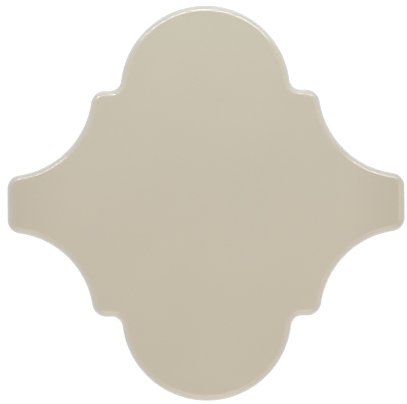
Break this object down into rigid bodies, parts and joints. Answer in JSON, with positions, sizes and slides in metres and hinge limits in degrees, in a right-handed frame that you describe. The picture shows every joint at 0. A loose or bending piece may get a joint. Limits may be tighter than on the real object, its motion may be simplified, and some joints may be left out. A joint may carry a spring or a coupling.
{
  "type": "arabesque tile",
  "caption": "Lantern-shaped glazed ceramic wall tile with round lobes, stepped shoulders, hollow flanks and blunt tips, a soft cushion edge and a ribbed keying back.",
  "frame": {"origin": "middle of the back, in the plane that the tile lies on", "axes": "+X from the middle towards one blunt tip, +Y towards one round lobe, +Z out of the glazed face"},
  "size_m": [0.12, 0.1194, 0.008],
  "materials": {
    "glazed_body": "glossy warm beige glaze on the face, the cushion edge and the upper sides; bare off-white fired body below it and on the back"
  },
  "bodies": {
    "root": {"arabesque_tile": "glazed_body"}
  },
  "joints": []
}
